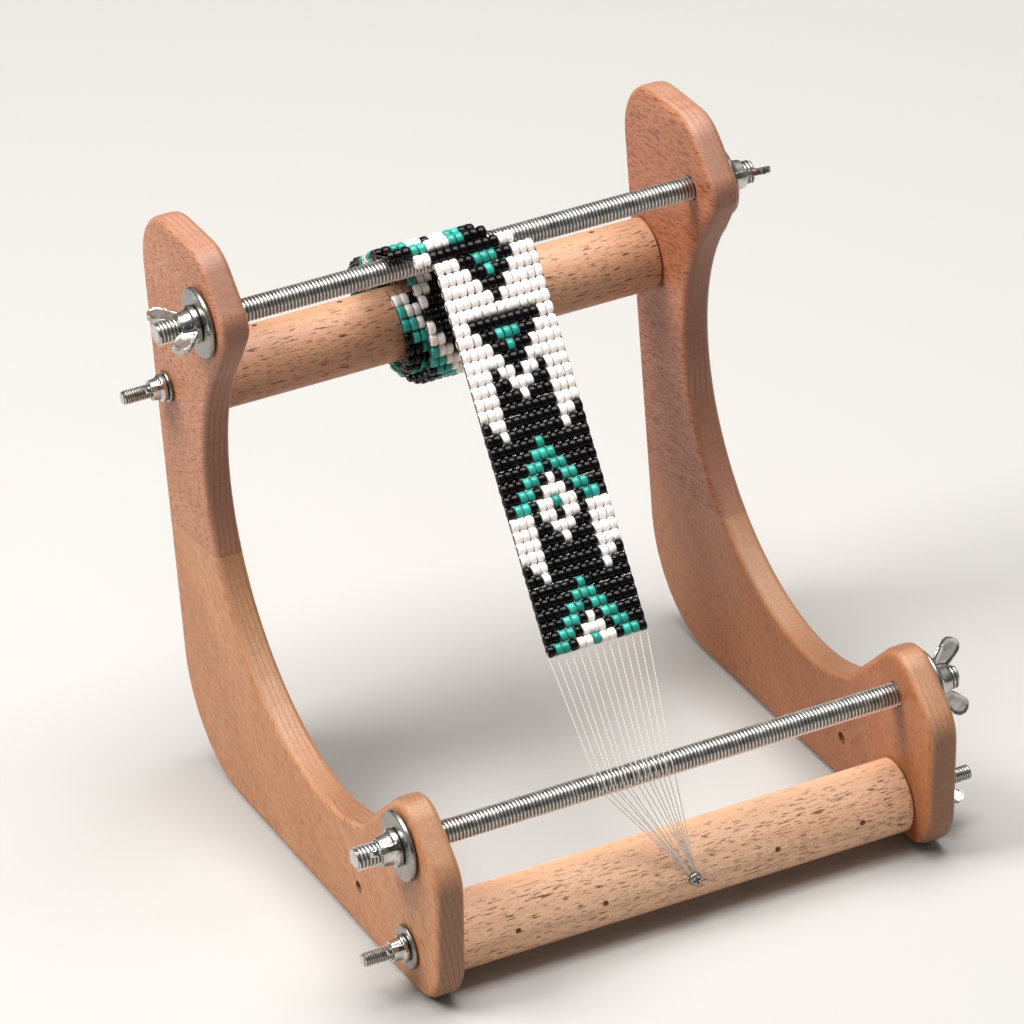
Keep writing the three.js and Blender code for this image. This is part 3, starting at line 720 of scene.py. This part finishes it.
def cut_out(piece, tool):
    """Takes the shape of a tool out of a piece, and the tool away."""
    cut = piece.modifiers.new("cut", "BOOLEAN")
    cut.object = tool
    cut.operation = "DIFFERENCE"
    bpy.context.view_layer.objects.active = piece
    bpy.ops.object.modifier_apply(modifier="cut")
    bpy.data.objects.remove(tool)


def wing_nut(name, foot, neck, height, wing, rise, tip, plate, bore):
    """A wing nut with its foot at x = 0 and its wings along Y. Hub and wings are melted into
    one body, as cast, and then bored through."""
    hub = round_bar(name, 40, foot, 0, height * 0.28)
    bpy.ops.object.mode_set(mode="EDIT")
    select_faces(hub, lambda normal, middle: normal.x > 0.99)
    for climb, share in ((0.14, neck / foot), (0.58, 0.9)):
        bpy.ops.mesh.extrude_region_move(TRANSFORM_OT_translate={"value": (height * climb, 0, 0)})
        bpy.ops.transform.resize(value=(1, share, share), center_override=(0, 0, 0))
    bpy.ops.object.mode_set(mode="OBJECT")

    # A wing starts as the round tip, whose inner side is drawn down to the hub, widening. Its
    # two faces are then sunk inside a rim.
    root = Vector((height * 0.52, neck / 2 - 0.9 * MM, 0))
    tip_at = Vector((rise - tip, wing - tip, 0))
    reach = (tip_at - root).length
    bpy.ops.mesh.primitive_cylinder_add(vertices=28, radius=tip, depth=plate, location=(reach, 0, 0))
    ear = bpy.context.object
    bpy.ops.object.transform_apply(location=True, rotation=True, scale=True)
    bpy.ops.object.mode_set(mode="EDIT")
    select_faces(ear, lambda normal, middle: abs(normal.z) < 0.1 and normal.x < 0.05)
    middle_at = reach
    for share, narrower in ((0.4, 0.82), (0.35, 0.9), (0.25, 1.1)):
        middle_at -= reach * share
        bpy.ops.mesh.extrude_region_move(TRANSFORM_OT_translate={"value": (-reach * share, 0, 0)})
        bpy.ops.transform.resize(value=(0.4, narrower, 1), center_override=(middle_at, 0, 0))
    select_faces(ear, lambda normal, middle: abs(normal.z) > 0.9)
    bpy.ops.mesh.inset(thickness=tip * 0.22)
    bpy.ops.transform.resize(value=(1, 1, 0.62), center_override=(reach, 0, 0))
    bpy.ops.object.mode_set(mode="OBJECT")
    lean = Matrix.Rotation(math.atan2(tip_at.y - root.y, tip_at.x - root.x), 4, "Z")
    ear.data.transform(Matrix.Translation(root) @ lean)
    other = copy_piece(ear, "other_ear", Matrix.Rotation(math.pi, 4, "X"))
    join_to(hub, [ear, other])
    melt = hub.modifiers.new("melt", "REMESH")
    melt.mode = "VOXEL"
    melt.voxel_size = tip * 0.09
    soften = hub.modifiers.new("soften", "SMOOTH")
    soften.factor = 0.5
    soften.iterations = 3
    bpy.ops.object.modifier_apply(modifier="melt")
    bpy.ops.object.modifier_apply(modifier="soften")
    cut_out(hub, round_bar("drill", 40, bore, -height, 2 * height))
    hub.select_set(True)
    bpy.ops.object.shade_smooth_by_angle(angle=math.radians(50))
    return hub


rod_nut = wing_nut(
    "rod_nut", foot=13 * MM, neck=10.6 * MM, height=6.2 * MM, wing=13.4 * MM, rise=12.3 * MM, tip=3.3 * MM,
    plate=2.4 * MM, bore=8.2 * MM,
)
bolt_nut = wing_nut(
    "bolt_nut", foot=9.4 * MM, neck=7.6 * MM, height=4.8 * MM, wing=9.6 * MM, rise=8.8 * MM, tip=2.3 * MM,
    plate=1.9 * MM, bore=5.2 * MM,
)
# Each nut's washer, and how far its wings are turned from level, in degrees.
nut_places = (
    ("rear_rod", REAR_ROD, rod_nut, LARGE_THICKNESS, {"left": 8, "right": 157}),
    ("front_rod", FRONT_ROD, rod_nut, LARGE_THICKNESS, {"left": 148, "right": 76}),
    ("rear_dowel", REAR_DOWEL, bolt_nut, SMALL_THICKNESS, {"left": 150, "right": 80}),
    ("front_dowel", FRONT_DOWEL, bolt_nut, SMALL_THICKNESS, {"left": 146, "right": 30}),
)
for name, spot, kind, washer_thickness, turns in nut_places:
    for side in ("left", "right"):
        wings = math.radians(turns[side] if side == "right" else -turns[side])
        seat = Matrix.Translation((OUTER_FACE + washer_thickness + 2 * SEAT_GAP, 0, 0))
        place = at_end(spot, side) @ seat @ Matrix.Rotation(wings, 4, "X")
        piece = copy_piece(kind, f"{name}_wing_nut_{side}_cast", place)
        dress(piece, cast_zinc, "plated_hardware", f"{name}_wing_nut_{side}", f"{name}_wing_nut_{side}")
for kind in (rod_nut, bolt_nut):
    bpy.data.objects.remove(kind)

# Beadwork
# Thirteen opaque glass seed beads to a row, woven on fourteen warp threads. The work hangs on
# the warp from its free end, goes over the rear rod and is wound on the rear dowel. Its sizes
# and places are in millimetres.
BEADS_PER_ROW = 13
BEAD_WIDTH = 2.72
BEAD_DIAMETER = 3.6
BEAD_GAP = 0.08
ROW_PITCH_FREE = 3.8
ROW_PITCH_ROD = 4.45
GROWING_ROWS = 30
FREE_LENGTH = 138.6
WINDING_TURNS = 1.88
WINDING_PITCH = 4.2
THREAD = 0.45
# How far apart the points of a thread in the work are.
POINT_SPACING = 2.2
ROD_RADIUS = 4
DOWEL_RADIUS = 12.5
REST_GAP = 0.3
# Where the middle of the work is across the loom at the top of the warp, and how far it strays
# to the left for each millimetre down the warp.
WORK_MIDDLE = 4.2
WORK_LEAN = 0.0915
over_rod = ROD_RADIUS + REST_GAP + BEAD_DIAMETER / 2
winding_inner = DOWEL_RADIUS + REST_GAP + BEAD_DIAMETER / 2
winding_outer = winding_inner + WINDING_PITCH * WINDING_TURNS
rod_centre = Vector(REAR_ROD)
front_centre = Vector(FRONT_ROD)
dowel_centre = Vector(REAR_DOWEL)


def band_normal(c1, r1, c2, r2):
    """The direction in (y, z) of the outer side of a band that touches two circles."""
    across = c2 - c1
    return math.atan2(across.y, across.x) % (2 * math.pi) + math.acos((r1 - r2) / across.length)


def polar(centre, radius, angle):
    """The point in (y, z) at a distance and a direction from a centre."""
    return Vector((centre.x + radius * math.cos(angle), centre.y + radius * math.sin(angle)))


warp_normal = band_normal(front_centre, ROD_RADIUS + REST_GAP + THREAD / 2, rod_centre, over_rod)
flap_normal = band_normal(rod_centre, over_rod, dowel_centre, winding_outer) - 2 * math.pi
warp_start = polar(rod_centre, over_rod, warp_normal)
flap_start = polar(rod_centre, over_rod, flap_normal)
winding_start = polar(dowel_centre, winding_outer, flap_normal)
over_rod_length = (warp_normal - flap_normal) * over_rod
flap_length = (winding_start - flap_start).length
sweep = WINDING_TURNS * 2 * math.pi
winding_length = sweep * (winding_inner + winding_outer) / 2
strip_length = FREE_LENGTH + over_rod_length + flap_length


def smooth(length, start, end):
    """Goes from 0 at the start to 1 at the end without a corner."""
    share = min(max((length - start) / (end - start), 0), 1)
    return share * share * (3 - 2 * share)


def across_at(length):
    """Where the middle of the work lies across the loom, at a length from its free end. It
    drifts up the warp, is dragged to the left over the rear rod, and comes back on the roll."""
    crest = FREE_LENGTH + 0.75 * over_rod_length
    outer_turn = strip_length + 0.35 * winding_length
    drifts = (
        (-17, FREE_LENGTH - 7, crest),
        (11.5, crest, strip_length),
        (12, strip_length, outer_turn),
        (-7.5, outer_turn, strip_length + winding_length),
    )
    drift = sum(way * smooth(length, start, end) for way, start, end in drifts)
    return WORK_MIDDLE - WORK_LEAN * max(FREE_LENGTH - length, 0) + drift


def work_at(length):
    """The middle of the work in (y, z), and its outward direction, at a length."""
    if length <= FREE_LENGTH:
        up_warp = Vector((-math.sin(warp_normal), math.cos(warp_normal)))
        return warp_start + up_warp * (FREE_LENGTH - length), warp_normal
    past = length - FREE_LENGTH
    if past <= over_rod_length:
        angle = warp_normal - past / over_rod
        return polar(rod_centre, over_rod, angle), angle
    if past <= over_rod_length + flap_length:
        return flap_start.lerp(winding_start, (past - over_rod_length) / flap_length), flap_normal
    shrink = winding_outer - winding_inner
    wound = length - strip_length
    share = (winding_outer - math.sqrt(max(winding_outer ** 2 - 2 * shrink * wound / sweep, 0))) / shrink
    angle = flap_normal - sweep * share
    return polar(dowel_centre, winding_outer - shrink * share, angle), angle


def row_at(row):
    """The length from the free end to the middle of a row. Rows lie closer together at the
    free end, where the first one hangs a little below the last weft."""
    growing = min(row, GROWING_ROWS)
    growth = (ROW_PITCH_ROD - ROW_PITCH_FREE) / GROWING_ROWS
    first = -0.1
    return first + ROW_PITCH_FREE * growing + growth * growing ** 2 / 2 + ROW_PITCH_ROD * (row - growing)


def bead_colour(row, column):
    """The pattern, by rule from the row and the distance to the middle column: twice a stepped
    teal peak over a white heart on black, then a black wedge with a teal heart on white, then
    diamonds inside each other in white, teal and black."""
    off = abs(column - (BEADS_PER_ROW - 1) // 2)
    if row < 24:
        step = row % 12
        if step < 6:
            if off in (4 - step, 5 - step) or (step == 0 and off == 0):
                return "teal"
            return "white" if off <= 2 - step else "black"
        heart = off <= step - 9 and not (step == 11 and off == 0)
        return "white" if 4 <= off <= step - 2 or heart else "black"
    if row < 34:
        step = (row - 23) % 6
        if step == 5:
            return "white"
        if (step == 2 and off == 0) or (step == 3 and off <= 1):
            return "teal"
        return "black" if off < step + 1 else "white"
    ring = (abs((row - 34) % 14 - 7) + off) % 7
    if ring < 2:
        return "white"
    return "teal" if ring < 4 else "black"


def bead_glass(name, low, high, roughness, specular):
    """Opaque pressed glass, fire polished: each bead has its own shade of the colour."""
    material, shader = start_material(name, roughness, ior=1.5)
    shade = add_node(material, "ShaderNodeAttribute", attribute_name="bead_shade")
    tone = add_node(
        material, "ShaderNodeValToRGB", links={"Fac": shade.outputs["Fac"]}, stops=((0, low), (1, high)),
    )
    material.node_tree.links.new(tone.outputs[0], shader.inputs["Base Color"])
    shader.inputs["Specular IOR Level"].default_value = specular
    return material


bead_materials = {
    "white": bead_glass("white_opaque_glass", "#F1E8E2", "#FFFBF8", 0.22, 0.45),
    "black": bead_glass("black_opaque_glass", "#040303", "#0B0809", 0.13, 0.22),
    "teal": bead_glass("teal_opaque_glass", "#1A8277", "#3DAE9F", 0.16, 0.4),
}

# One bead: a short cylinder with its rims rounded over and a dimple at each end for the hole.
rim = (BEAD_WIDTH - BEAD_GAP) / 2 * MM
bead = round_bar("bead", 10, BEAD_DIAMETER * MM, -rim, rim)
bpy.ops.object.mode_set(mode="EDIT")
select_rims(bead, 0)
bpy.ops.mesh.bevel(offset=0.7 * MM, segments=3, profile=0.5)
select_faces(bead, lambda normal, middle: abs(normal.x) > 0.99)
bpy.ops.mesh.inset(thickness=0.35 * MM, use_individual=True)
bpy.ops.transform.resize(value=(0.72, 1, 1), center_override=(0, 0, 0))
bpy.ops.object.mode_set(mode="OBJECT")
bpy.ops.object.select_all(action="DESELECT")
bead.select_set(True)
bpy.ops.object.shade_smooth()


def twisted_thread(name, roughness, ior, strand_scale, dark, light):
    """A twisted thread, whose strands catch the light in turn."""
    material, shader = start_material(name, roughness, ior=ior)
    coordinates = add_node(material, "ShaderNodeTexCoord")
    strands = add_node(
        material, "ShaderNodeTexWave", {"Scale": strand_scale, "Distortion": 1},
        {"Vector": coordinates.outputs["Object"]}, bands_direction="DIAGONAL",
    )
    tone = add_node(
        material, "ShaderNodeValToRGB", links={"Fac": strands.outputs["Fac"]}, stops=((0, dark), (1, light)),
    )
    material.node_tree.links.new(tone.outputs[0], shader.inputs["Base Color"])
    return material, shader


# The bare warp is pale nylon that lets a little light through.
nylon, shader = twisted_thread("twisted_nylon_thread", 0.4, 1.53, 350, "#DAD0C6", "#EEE7DF")
shader.inputs["Transmission Weight"].default_value = 0.15
# Inside the work the warp is painted dark, as the shade that falls between the beads.
shade_dark_warp, shader = twisted_thread("warp_in_painted_shade", 0.5, 1.48, 400, "#1E1815", "#4A3D36")


def thread_mesh(name, routes, thickness):
    """Threads through lists of points in millimetres, each a round line turned to a mesh."""
    curve = bpy.data.curves.new(name, "CURVE")
    curve.dimensions = "3D"
    curve.bevel_depth = thickness / 2 * MM
    curve.bevel_resolution = 1
    curve.use_fill_caps = True
    for route in routes:
        line = curve.splines.new("POLY")
        line.points.add(len(route) - 1)
        for point, (x, y, z) in zip(line.points, route):
            point.co = (x * MM, *placed((y, z)), 1)
    made = bpy.data.objects.new(name, curve)
    bpy.context.collection.objects.link(made)
    bpy.ops.object.select_all(action="DESELECT")
    made.select_set(True)
    bpy.context.view_layer.objects.active = made
    bpy.ops.object.convert(target="MESH")
    made = bpy.context.object
    bpy.ops.object.shade_smooth()
    return made


def beadwork(name, first_row, last_row, start, end):
    """The rows of beads from one row to another, with the warp threads between the beads. It
    is hand work: a row leans a little, and each bead wanders, tilts and has its own size."""
    random.seed(first_row + 7)
    parts = []
    for row in range(first_row, last_row + 1):
        length = row_at(row)
        at, normal = work_at(length)
        lean = random.gauss(0, 0.012)
        fullness = min(1.03 * (row_at(row + 1) - length) / BEAD_DIAMETER, 1.25)
        for column in range(BEADS_PER_ROW):
            colour = bead_colour(row, column)
            place = column - (BEADS_PER_ROW - 1) / 2
            wander = noise.noise((row * 0.35, column * 0.5, 3)) * 0.22 + random.gauss(0, 0.05)
            spot = Vector((
                across_at(length) + place * BEAD_WIDTH + random.gauss(0, 0.03),
                at.x + math.cos(normal) * wander - math.sin(normal) * place * lean,
                at.y + math.sin(normal) * wander + math.cos(normal) * place * lean,
            ))
            turn = Matrix.Rotation(random.uniform(0, 6.28), 4, "X")
            skew = Matrix.Rotation(random.gauss(0, 0.05), 4, "Z")
            tilt = Matrix.Rotation(random.gauss(0, 0.05), 4, "Y")
            size = random.gauss(1, 0.02)
            move = Matrix.Translation((spot.x * MM, *placed(spot.yz)))
            lie = Matrix.Rotation(normal - math.pi / 2, 4, "X")
            stretch = Matrix.Diagonal((min(size, 1.02), size * fullness, size, 1))
            one = copy_piece(bead, "one_bead", move @ skew @ tilt @ lie @ stretch @ turn)
            one.data.materials.append(bead_materials[colour])
            shade = one.data.attributes.new("bead_shade", "FLOAT", "POINT")
            shade.data.foreach_set("value", [random.random()] * len(one.data.vertices))
            parts.append(one)
    routes = []
    for thread in range(BEADS_PER_ROW + 1):
        place = (thread - BEADS_PER_ROW / 2) * BEAD_WIDTH
        steps = int((end - start) / POINT_SPACING)
        route = []
        for i in range(steps + 1):
            length = start + (end - start) * i / steps
            at, normal = work_at(length)
            route.append((across_at(length) + place, at.x, at.y))
        routes.append(route)
    warp = thread_mesh("work_threads", routes, 0.4)
    # Painted shade: the warp inside the work is coloured dark.
    warp.data.materials.append(shade_dark_warp)
    made = parts[0]
    made.name = name
    join_to(made, [*parts[1:], warp])
    return made


rows = [row for row in range(200) if row_at(row) + BEAD_DIAMETER / 2 < strip_length + winding_length]
strip_rows = [row for row in rows if row_at(row) < strip_length]
strip = beadwork("beadwork_strip_woven", 0, strip_rows[-1], 0, strip_length)
roll = beadwork(
    "beadwork_roll_woven", strip_rows[-1] + 1, rows[-1], strip_length, strip_length + winding_length,
)
bpy.data.objects.remove(bead)
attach(roll, "rear_roller")
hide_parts("beadwork_roll")
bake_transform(strip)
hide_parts("beadwork_strip")

# Warp screws
# Small pan head screws with a cross recess, one in the middle hole of each dowel. The warp is
# tied round the neck of the front one, and the end of the work to the rear one.
SCREW_NECK = 1.6
SCREW_HEAD = 4.6
SCREW_RISE = 1.7
SCREW_X = 1.8
SCREW_ROUNDING = 0.8
SCREW_SHANK = 8
SCREW_POINT = 1.8
RECESS_WIDTH = 0.62
RECESS_SPAN = 2.7
FRONT_FACE = math.radians(174)
head_foot = DOWEL_RADIUS + SCREW_NECK

# Blackened, and worn bright in places.
dark_steel, *_ = mottled_metal("blackened_screw_steel", 0.33, 900, 2, ((0, "#6E6C69"), (1, "#B4B1AC")))

bpy.ops.object.select_all(action="DESELECT")
bpy.ops.mesh.primitive_cylinder_add(
    vertices=28, radius=SCREW_HEAD / 2 * MM, depth=SCREW_RISE * MM,
    location=(0, 0, (head_foot + SCREW_RISE / 2) * MM),
)
screw = bpy.context.object
screw.name = "screw"
bpy.ops.object.transform_apply(location=True, rotation=True, scale=True)
bpy.ops.object.mode_set(mode="EDIT")
select_faces(screw, lambda normal, middle: normal.z > 0.99)
bpy.ops.mesh.bevel(offset=SCREW_ROUNDING * MM, segments=4)
select_faces(screw, lambda normal, middle: normal.z < -0.99)
bpy.ops.mesh.inset(thickness=(SCREW_HEAD / 2 - SCREW_ROUNDING) * MM)
bpy.ops.mesh.extrude_region_move(TRANSFORM_OT_translate={"value": (0, 0, -SCREW_SHANK * MM)})
bpy.ops.mesh.extrude_region_move(TRANSFORM_OT_translate={"value": (0, 0, -SCREW_POINT * MM)})
bpy.ops.transform.resize(value=(0.15, 0.15, 1), center_override=(0, 0, 0))
bpy.ops.object.mode_set(mode="OBJECT")
for width, span in ((RECESS_SPAN, RECESS_WIDTH), (RECESS_WIDTH, RECESS_SPAN)):
    bpy.ops.object.select_all(action="DESELECT")
    bpy.ops.mesh.primitive_cube_add(size=1, location=(0, 0, (head_foot + SCREW_RISE) * MM))
    slot = bpy.context.object
    slot.scale = (width * MM, span * MM, 2 * MM)
    cut_out(screw, slot)
screw.select_set(True)
bpy.ops.object.shade_smooth_by_angle(angle=math.radians(32))

# The rear screw sits half a row, half its head and a millimetre past the end of the work.
rear_face = flap_normal - sweep - (ROW_PITCH_ROD / 2 + SCREW_HEAD / 2 + 1) / winding_inner
for name, spot, face in (("rear", REAR_DOWEL, rear_face), ("front", FRONT_DOWEL, FRONT_FACE)):
    place = Matrix.Translation((SCREW_X * MM, *placed(spot))) @ Matrix.Rotation(face - math.pi / 2, 4, "X")
    piece = copy_piece(screw, f"{name}_warp_screw", place @ Matrix.Rotation(math.radians(14), 4, "Z"))
    dress(piece, dark_steel, "threaded_steel", f"{name}_roller", f"{name}_dowel_screw")
bpy.data.objects.remove(screw)

# Warp threads
# Fourteen nylon threads leave the free end of the work, spread over the front rod in the
# grooves of its thread, and draw together to a few turns round the neck of the front screw.
WARP_THREAD = 0.32
THREAD_SPACING = 2
KNOT_RADIUS = 1.25
KNOT_TURNS = 5
KNOT_POINTS = 90
ROD_POINTS = 7
out = Vector((math.cos(FRONT_FACE), math.sin(FRONT_FACE)))
up = Vector((-math.sin(FRONT_FACE), math.cos(FRONT_FACE)))
knot_middle = Vector(FRONT_DOWEL) + out * (DOWEL_RADIUS + SCREW_NECK / 2)
knot_top = knot_middle - up * KNOT_RADIUS
leave = band_normal(knot_top, 0, front_centre, ROD_RADIUS + THREAD / 2)
run = (warp_start - polar(front_centre, ROD_RADIUS + THREAD / 2, warp_normal)).length
rod_x = WORK_MIDDLE - WORK_LEAN * run
free_end = work_at(0)[0]
random.seed(5)
routes = []
for thread in range(BEADS_PER_ROW + 1):
    place = thread - BEADS_PER_ROW / 2
    on_rod = rod_x + place * THREAD_SPACING + random.gauss(0, 0.25)
    route = [(across_at(0) + place * BEAD_WIDTH, free_end.x, free_end.y)]
    for k in range(ROD_POINTS):
        round_rod = warp_normal + (leave - warp_normal) * k / (ROD_POINTS - 1)
        touch = polar(front_centre, ROD_RADIUS + WARP_THREAD / 2, round_rod)
        route.append((on_rod, touch.x, touch.y))
    side = 1 if place > 0 else -1
    rise = (thread % 5 - 2) * 0.16
    onto = knot_top + out * rise
    for share in (0.15, 0.3, 0.4, 0.5, 0.58, 0.66, 0.74, 0.82, 0.91):
        between = touch.lerp(onto, share)
        route.append((on_rod + (SCREW_X + side * 0.8 - on_rod) * share, between.x, between.y))
    route.append((SCREW_X + side * KNOT_RADIUS * (0.4 + abs(place) / BEADS_PER_ROW), onto.x, onto.y))
    routes.append(route)
# The turns of the knot, and its two cut tails.
coil = []
for i in range(KNOT_POINTS):
    share = i / KNOT_POINTS
    angle = share * 2 * math.pi * KNOT_TURNS
    swing = knot_middle + out * (1.1 * share - 0.55) + up * KNOT_RADIUS * math.sin(angle)
    coil.append((SCREW_X + KNOT_RADIUS * math.cos(angle), swing.x, swing.y))
routes.append(coil)
# Each point of a tail: to the right of the screw, out from the neck, and down.
tails = (
    ((-1.2, 0.4, 0.5), (-2.4, 0.9, 0.9), (-3.2, 0.7, 1.7), (-3.6, 0.3, 1.2)),
    ((1.1, 0.6, 0.3), (2.0, 1.2, 1.0), (2.3, 1.5, 1.9)),
)
for tail in tails:
    points = [(across, knot_middle + out * proud - up * drop) for across, proud, drop in tail]
    routes.append([(SCREW_X + across, point.x, point.y) for across, point in points])
warp = thread_mesh("warp_threads_drawn", routes, WARP_THREAD)
warp.data.materials.append(nylon)
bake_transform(warp)
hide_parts("warp_threads")
